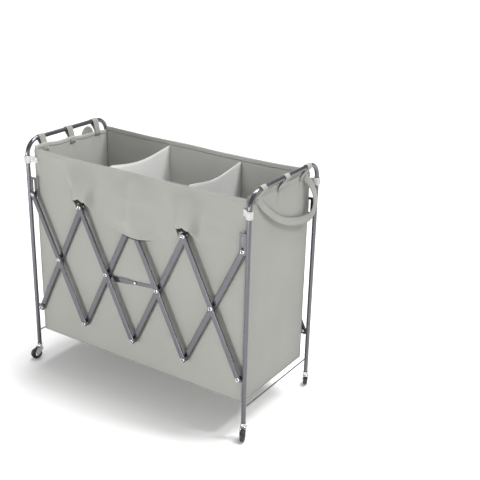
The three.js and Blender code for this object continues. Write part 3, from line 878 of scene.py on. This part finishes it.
def build_hood(side_name, side, tip, label):
    """A small lip over a lattice tip, with a near-black sheet under it, painted shade in the slit that the
    bars come out of.
    """
    def surface(u, v):
        dx = HOOD_WIDTH * (u - 0.5)
        low = hood_lip(dx)
        z = low + (top_line(tip + dx) - SEAM_DROP - low) * v
        return over_cloth(side, tip + dx, z, hood_bulge(dx, z) * smoothstep(0.586, 0.634, z))

    def tip_shade_surface(u, v):
        dx = SLIT_WIDTH * (u - 0.5)
        depth = 0.0025 + 0.0110 * (1 - smoothstep(0.006, SLIT_WIDTH / 2, abs(dx)))
        z = hood_lip(dx) + 0.002 - depth * (1 - v)
        return over_cloth(side, tip + dx, z, HOOD_REACH - 0.0008 - 8 * max(abs(dx) - 0.010, 0) ** 2)

    hood = grid_object(f"bag_{side_name}_hood_{label}", surface, 100, 60, BAG_CLOTH, SOFT_CLOTH_T)
    # A near-black sheet under the lip: painted shade in the slit.
    tip_shade = grid_object(f"bag_{side_name}_slit_{label}", tip_shade_surface, 24, 8, PAINTED_SHADE, SHADE_SHEET_T)
    place_on_bag(hood, "bag_cloth")
    place_on_bag(tip_shade, "bag_cloth")


for side_name, side in SIDES.items():
    build_flap(side_name, side)
    for label, tip in (("left", -CELL), ("right", CELL)):
        build_hood(side_name, side, tip, label)


# ---- end panels, loops and handles
LOOP_Y = (-0.127, 0.0, 0.127)


def end_top(y):
    """Top edge of an end panel: held up at the three loops and slack between them."""
    return BAG_TOP - 0.004 * math.sin(math.pi * y / LOOP_Y[-1]) ** 2 - 0.010 * (y / BAG_Y)


def end_relief(end, y, z):
    """Outward relief of an end panel, with small pleats under each loop."""
    seed = 21.0 if end > 0 else 33.0
    relief = noise.noise(Vector((seed, y * 6.0, z * 3.0))) * 0.0035
    relief += noise.noise(Vector((seed + 4, y * 14.0, z * 5.0))) * 0.0012
    for loop in LOOP_Y:
        pull = math.exp(-((y - loop) / 0.03) ** 2) * smoothstep(0.68, 0.765, z)
        relief += 0.0012 * pull * math.cos((y - loop) * 160)
    edge = smoothstep(0.0, 0.02, BAG_Y - abs(y)) * smoothstep(0.0, 0.03, z - BAG_FLOOR)
    return relief * edge * (1 - 0.7 * smoothstep(0.73, 0.765, z))


def end_x(end, y, z):
    return end * (PANEL_X + end_relief(end, y, z))


def loop_path(end):
    """Round the top bar and back to the end panel, in the XZ plane."""
    centre = Vector((LEG_X, 0, TOP_BAR_Z))
    radius = TUBE_R + LOOP_T
    inside = Vector((PANEL_X - 0.0018, 0, 0.742))
    outside = Vector((PANEL_X + 0.0022, 0, 0.742))
    arc = [centre + radius * Vector((math.cos(a), 0, math.sin(a)))
           for a in np.radians(np.linspace(165, -48, 26))]
    path = [inside, inside + Vector((0, 0, 0.012))]
    path += [inside.lerp(arc[0], s) + Vector((0, 0, 0.004 * math.sin(math.pi * s)))
             for s in (0.4, 0.6, 0.8)]
    path += arc
    path += [arc[-1].lerp(outside + Vector((0, 0, 0.015)), s) for s in (0.25, 0.5, 0.75)]
    path += [outside + Vector((0, 0, 0.013)), outside]
    return [Vector((end * p.x, 0, p.z)) for p in path]


def build_loop(end_name, end, label, y):
    """One strap loop over the top bar, and its stitched box on the panel."""
    columns = 5
    path = [p + Vector((0, y, 0)) for p in loop_path(end)]
    points = []
    for i, p in enumerate(path):
        lean = 0.0012 * math.sin(i * 0.5 + y * 40)
        for k in range(columns + 1):
            share = 2 * k / columns - 1
            points.append(p + Vector((0, share * WEB_W / 2 + lean, 0)))
    faces = grid_faces(columns, len(path) - 1)
    loop = thicken(mesh_object(f"{end_name}_loop_{label}", points, faces, WEBBING), LOOP_T)
    place(loop, f"{end_name}_frame", "strap_cloth")
    x = end * (PANEL_X + 0.0031)
    half, low, high = 0.0095, 0.744, 0.754
    box = ((-half, low), (half, low), (half, high), (-half, high), (-half, low))
    seam = stitches(f"{end_name}_loop_stitches_{label}", [Vector((x, y + a, z)) for a, z in box],
                    pitch=0.0034, length=0.0024)
    place(seam, f"{end_name}_frame", "strap_cloth")
    path_length(path)


def build_end_panel(end_name, end):
    """An end of the bag with its hem, its stitches and the piping along its seams."""
    body = f"{end_name}_frame"
    columns = 70
    foot_z = BAG_FLOOR - 0.0012

    def surface(u, v):
        y = -BAG_Y + 2 * BAG_Y * u
        z = foot_z + (end_top(y) - foot_z) * v
        return Vector((end_x(end, y, z), y, z))

    def hem_surface(u, v):
        y = -BAG_Y + 2 * BAG_Y * u
        z = end_top(y) + 0.0006 - PANEL_HEM * (1 - v)
        return Vector((end_x(end, y, z), y, z))

    panel = grid_object(f"bag_{end_name}_panel", surface, columns, 120, BAG_CLOTH)
    hem = grid_object(f"bag_{end_name}_panel_hem", hem_surface, columns, 4, BAG_CLOTH, 0.0020)
    paint_inside_lighter(panel, (end, 0, 0))
    paint_inside_lighter(hem, (end, 0, 0))
    seam = stitches(f"bag_{end_name}_panel_stitches",
                    [Vector((end * (PANEL_X + 0.0014), y, end_top(y) - 0.0115))
                     for y in np.linspace(-BAG_Y, BAG_Y, columns + 1)])
    place(panel, body, "bag_cloth", f"bag_{end_name}_end")
    place(hem, body, "bag_cloth")
    place(seam, body, "strap_cloth")
    x = end * (PANEL_X + 0.0002)
    heights = np.linspace(BAG_FLOOR - 0.001, 0.758, 40)
    edges = {side_name: [Vector((x, side * (BAG_Y + 0.0004), z)) for z in heights]
             for side_name, side in SIDES.items()}
    edges["bottom"] = [Vector((x, y, BAG_FLOOR - 0.0008)) for y in np.linspace(-BAG_Y, BAG_Y, 30)]
    for label, edge in edges.items():
        piping = tube_along(f"bag_{end_name}_{label}_piping", edge, 0.0017, BAG_CLOTH, 10)
        place(piping, body, "bag_cloth")


for end_name, end in ENDS.items():
    build_end_panel(end_name, end)
    for k, y in enumerate(LOOP_Y, 1):
        build_loop(end_name, end, k, y)

# Points that the carrying straps run through.
RIGHT_HANDLE = [
    (0.4122, -0.125, 0.756), (0.4135, -0.100, 0.726), (0.4150, -0.062, 0.694),
    (0.4165, -0.018, 0.664), (0.4185, 0.030, 0.641), (0.4215, 0.078, 0.627),
    (0.4270, 0.120, 0.620), (0.4335, 0.152, 0.626), (0.4375, 0.168, 0.648),
    (0.4370, 0.170, 0.684), (0.4290, 0.160, 0.720), (0.4135, 0.140, 0.752),
]
LEFT_HANDLE = [
    (-0.4122, -0.112, 0.750), (-0.4140, -0.098, 0.690), (-0.4175, -0.058, 0.651),
    (-0.4190, 0.000, 0.639), (-0.4190, 0.056, 0.652), (-0.4190, 0.094, 0.698),
    (-0.4180, 0.100, 0.746), (-0.4170, 0.088, 0.768), (-0.4155, 0.069, 0.767),
    (-0.4125, 0.056, 0.748),
]


def build_handle(end_name, end, controls):
    """A carrying strap, its face tilted up in the middle of its run, and its two rows of stitches."""
    steps, tilt = 70, 0.22
    path = smooth_path(controls, steps)
    outs = [Vector((end, 0, tilt * math.sin(math.pi * (i / steps)))).normalized()
            for i in range(steps + 1)]
    handle = ribbon(f"{end_name}_carry_strap", path, outs, 0.0009)
    place(handle, f"{end_name}_frame", "strap_cloth", f"{end_name}_handle")
    for label, share in (("inner", -0.40), ("outer", 0.40)):
        row = []
        for i in range(2, steps - 1):
            across, normal = strap_axes(path, outs, i)
            row.append(path[i] + across * (share * WEB_W) + normal * (WEB_T / 2 - 0.0005))
        seam = stitches(f"{end_name}_carry_strap_stitches_{label}", row)
        place(seam, f"{end_name}_frame", "strap_cloth")
    path_length(path)


build_handle("right", 1, RIGHT_HANDLE)
build_handle("left", -1, LEFT_HANDLE)


# ---- left end pocket
POCKET_HALF = 0.166
POCKET_FOOT, POCKET_TOP = 0.125, 0.301


def pocket_top(y):
    share = (y + POCKET_HALF) / (2 * POCKET_HALF)
    return POCKET_TOP - 0.012 * math.sin(math.pi * share) - 0.005 * math.sin(3 * math.pi * share)


def pocket_surface(u, v, lift=0.0):
    """The left end's pocket, slack at its mouth and sewn down round its other edges."""
    y = -POCKET_HALF + 2 * POCKET_HALF * u
    z = POCKET_FOOT + (pocket_top(y) - POCKET_FOOT) * v
    share = math.sin(math.pi * u)
    bulge = 0.0135 * share * v ** 1.6 + 0.0035 * share * math.sin(math.pi * v)
    bulge += 0.0016 * noise.noise(Vector((y * 12, z * 16, 8.0))) * share
    return Vector((-PANEL_X - 0.0024 - lift - max(bulge, 0), y, z))


def build_pocket():
    pocket = grid_object("left_end_pocket", pocket_surface, 80, 50, BAG_CLOTH)
    border = grid_object("left_end_pocket_border",
                         lambda u, v: pocket_surface(u, 0.90 + 0.104 * v), 80, 5, BAG_CLOTH, 0.0026)
    lift = 0.0007
    rows = {
        "mouth": [pocket_surface(k / 80, 0.885, lift) for k in range(81)],
        "foot": [pocket_surface(k / 80, 0.02, lift) for k in range(81)],
        "front": [pocket_surface(0.012, k / 40, lift) for k in range(41)],
        "rear": [pocket_surface(0.988, k / 40, lift) for k in range(41)],
    }
    for label, path in rows.items():
        seam = stitches(f"left_end_pocket_stitches_{label}", path)
        place(seam, "left_frame", "strap_cloth")
    place(pocket, "left_frame", "bag_cloth", "left_pocket")
    place(border, "left_frame", "bag_cloth")


build_pocket()


# ---- dividers
def build_divider(name, front_x, rear_x):
    """A cloth between two compartments, sewn to the front and rear walls."""
    floor, belly = BAG_FLOOR + 0.003, -0.006

    def top(share):
        sag = 0.020 * math.sin(math.pi * share) ** 1.3
        return 0.7635 - 0.020 * share - sag

    def surface(u, v):
        z = floor + (top(u) - floor) * v
        x = front_x + (rear_x - front_x) * u
        x += belly * math.sin(math.pi * u) * (0.35 + 0.65 * v)
        x += 0.003 * noise.noise(Vector((u * 4.0, z * 7.0, front_x * 50))) * math.sin(math.pi * u)
        inner = CLOTH_T / 2 + 0.0006
        y_front = wall_y(-1, x, min(z, 0.76)) + inner
        y_rear = wall_y(1, x, min(z, 0.76)) - inner
        return Vector((x, y_front + (y_rear - y_front) * u, z))

    sheet = grid_object(f"{name}_cloth", surface, 60, 80, DIVIDER_CLOTH, SOFT_CLOTH_T)
    edge = [surface(u, 1.0) for u in np.linspace(0.0, 1.0, 61)]
    binding = tube_along(f"{name}_cloth_binding", edge, 0.0011, DIVIDER_CLOTH, 8)
    place(sheet, name, "divider_cloth", f"bag_{name}")
    place(binding, name, "divider_cloth")


build_divider("left_divider", -0.092, -0.130)
build_divider("right_divider", 0.206, 0.162)


# ---- leg ties
TIE_LOW, TIE_HIGH = 0.716, 0.740
TIE_PROFILE = [
    (0.0076, TIE_LOW + 0.0006), (0.0092, TIE_LOW), (0.0099, TIE_LOW + 0.0010),
    (0.0101, TIE_LOW + 0.006), (0.0098, (TIE_LOW + TIE_HIGH) / 2), (0.0101, TIE_HIGH - 0.006),
    (0.0099, TIE_HIGH - 0.0010), (0.0092, TIE_HIGH), (0.0076, TIE_HIGH - 0.0006),
    (0.0076, TIE_LOW + 0.0006),
]


def tie_sheet(name, point, columns, rows, margin, thickness):
    """A piece of the tie's cloth: point(share, row, z) places it, margin keeps it off the edges."""
    low, height = TIE_LOW + margin, TIE_HIGH - TIE_LOW - 2 * margin
    points = [point(c / columns, r, low + height * r / rows)
              for r in range(rows + 1) for c in range(columns + 1)]
    return apply_modifiers(thicken(
        mesh_object(name, points, grid_faces(columns, rows), TIE_CLOTH), thickness))


def build_tie(end_name, side_name):
    """A band round the leg, the tab that holds the bag's corner and the closure's end."""
    end, side = ENDS[end_name], SIDES[side_name]
    name = f"{end_name}_{side_name}"
    centre = Vector((end * LEG_X, side * LEG_Y, 0))
    corner = Vector((end * (BAG_X - 0.010), side * (BAG_Y + 0.0022), 0))
    toward = (corner - centre).normalized()
    across = Vector((-toward.y, toward.x, 0))
    start, stop = centre + toward * 0.0085, corner + toward * 0.001
    closure = math.atan2(-toward.y, -toward.x) + side * end * 0.5

    def tab_point(share, row, z):
        wave = across * (0.0010 * math.sin(math.pi * share) * math.cos(row * 0.8))
        return start.lerp(stop, share) + wave + Vector((0, 0, z - 0.0008 * share))

    def closure_point(share, _, z):
        angle = closure + (share - 0.5) * 1.6
        radius = 0.0107 + 0.0003 * share
        return centre + Vector((radius * math.cos(angle), radius * math.sin(angle), z))

    pieces = [
        lathe(f"{name}_tie_band", TIE_PROFILE, TIE_CLOTH, centre, (0, 0, 1), 40),
        tie_sheet("tab", tab_point, 8, 8, 0.002, 0.0016),
        tie_sheet("closure", closure_point, 8, 6, 0.0015, 0.0010),
    ]
    tie = joined(f"{name}_tie_band", pieces)
    place(tie, f"{end_name}_frame", "tie_cloth", f"{name}_leg_tie")


for end_name, side_name in CORNERS:
    build_tie(end_name, side_name)


# ---- carried-over CAD nodes
def dress(node, rounding=0.0006):
    """A CAD node keeps its shape and gets the frame's paint and a fine rounding of its edges."""
    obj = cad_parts[node]
    if not obj.material_slots:
        obj.data.materials.append(FRAME_PAINT)
    for socket in obj.material_slots:
        socket.material = FRAME_PAINT
    rounded_edges(obj, rounding).angle_limit = math.radians(40)


for end_name, side_name in CORNERS:
    dress(f"{end_name}_{side_name}_guide_bracket")
    dress(f"{end_name}_{side_name}_lower_bracket")
for half_name in ("wide", "narrow"):
    dress(f"lock_link_{half_name}", 0.0003)


# ---- floor, light and camera
def aimed_light(name, data, direction, axis):
    """Adds a light whose own axis looks along a direction."""
    light = bpy.data.objects.new(name, data)
    bpy.context.scene.collection.objects.link(light)
    light.rotation_mode = "QUATERNION"
    light.rotation_quaternion = Vector(direction).to_track_quat(axis, "Y")
    return light


def area_light(name, location, target, size, power):
    data = bpy.data.lights.new(name, "AREA")
    data.shape = "RECTANGLE"
    data.size, data.size_y = size
    data.energy = power
    light = aimed_light(name, data, Vector(target) - Vector(location), "-Z")
    light.location = location
    light.visible_camera = False


def sun_light(name, toward, strength, angle):
    data = bpy.data.lights.new(name, "SUN")
    data.energy = strength
    data.angle = math.radians(angle)
    aimed_light(name, data, toward, "Z")


def build_world():
    """A pale studio: white where it meets the floor and dimmer overhead, so that metal has contrast."""
    world = bpy.data.worlds.new("studio")
    bpy.context.scene.world = world
    world.use_nodes = True
    tree = world.node_tree
    direction = tree.nodes.new("ShaderNodeTexCoord").outputs["Generated"]
    split = tree.nodes.new("ShaderNodeSeparateXYZ")
    tree.links.new(direction, split.inputs[0])
    tone = ramp_node(tree, split.outputs["Z"], [
        (0.10, (1.0, 1.0, 1.0)),
        (0.24, (0.24, 0.24, 0.24)),
        (1.00, (0.46, 0.46, 0.46)),
    ])
    tree.links.new(tone, tree.nodes["Background"].inputs["Color"])


def build_stage():
    """The white floor, the studio round it and its lights."""
    half = 14.0
    mat, tree, shader = new_material("floor_white")
    coords = tree.nodes.new("ShaderNodeTexCoord").outputs["Object"]
    grain = ramp_node(tree, noise_node(tree, coords, 3.0), [
        (0.3, (0.94, 0.94, 0.94)),
        (0.7, (0.96, 0.96, 0.96)),
    ])
    tree.links.new(grain, shader.inputs["Base Color"])
    shader.inputs["Roughness"].default_value = 0.9
    shader.inputs["Specular IOR Level"].default_value = 0.1
    corners = [(-half, -half, 0), (half, -half, 0), (half, half, 0), (-half, half, 0)]
    mesh_object("studio_floor", corners, [(0, 1, 2, 3)], mat, smooth=False)
    build_world()
    sun_light("overhead", toward=(0.06, 0.34, 0.94), strength=3.1, angle=38)
    area_light("key", (-0.30, -3.1, 0.52), target=(0, 0, 0.42), size=(0.6, 0.6), power=57)
    area_light("side", (1.8, 0.7, 2.45), target=(0.25, 0, 0.6), size=(0.5, 0.5), power=32)
    area_light("strip", (2.17, -1.94, 0.85), target=(0, 0, 0.5), size=(0.5, 1.0), power=10)
    area_light("bag_fill", (0.14, -0.06, 1.25), target=(0.14, 0.03, 0.6), size=(0.42, 0.08), power=3.5)
    bpy.context.scene.view_settings.view_transform = "Standard"


build_stage()

# The camera's place in metres, its angles in degrees, its lens and sensor in millimetres.
CAMERA_PLACE = (1.6903, -2.1815, 1.6088)
CAMERA_YAW, CAMERA_PITCH, CAMERA_ROLL = 32.98, 22.05, 1.5
LENS, SENSOR = 68.39295, 36


def build_camera():
    yaw, pitch, roll = (math.radians(a) for a in (CAMERA_YAW, CAMERA_PITCH, CAMERA_ROLL))
    forward = Vector((-math.sin(yaw) * math.cos(pitch), math.cos(yaw) * math.cos(pitch), -math.sin(pitch)))
    right = Vector((math.cos(yaw), math.sin(yaw), 0))
    up = right.cross(forward)
    turned_right = right * math.cos(roll) + up * math.sin(roll)
    turned_up = up * math.cos(roll) - right * math.sin(roll)
    data = bpy.data.cameras.new("camera")
    data.sensor_width = SENSOR
    data.lens = LENS
    camera = bpy.data.objects.new("camera", data)
    bpy.context.scene.collection.objects.link(camera)
    axes = Matrix((turned_right, turned_up, -forward)).transposed()
    camera.matrix_world = Matrix.Translation(CAMERA_PLACE) @ axes.to_4x4()
    bpy.context.scene.camera = camera


build_camera()
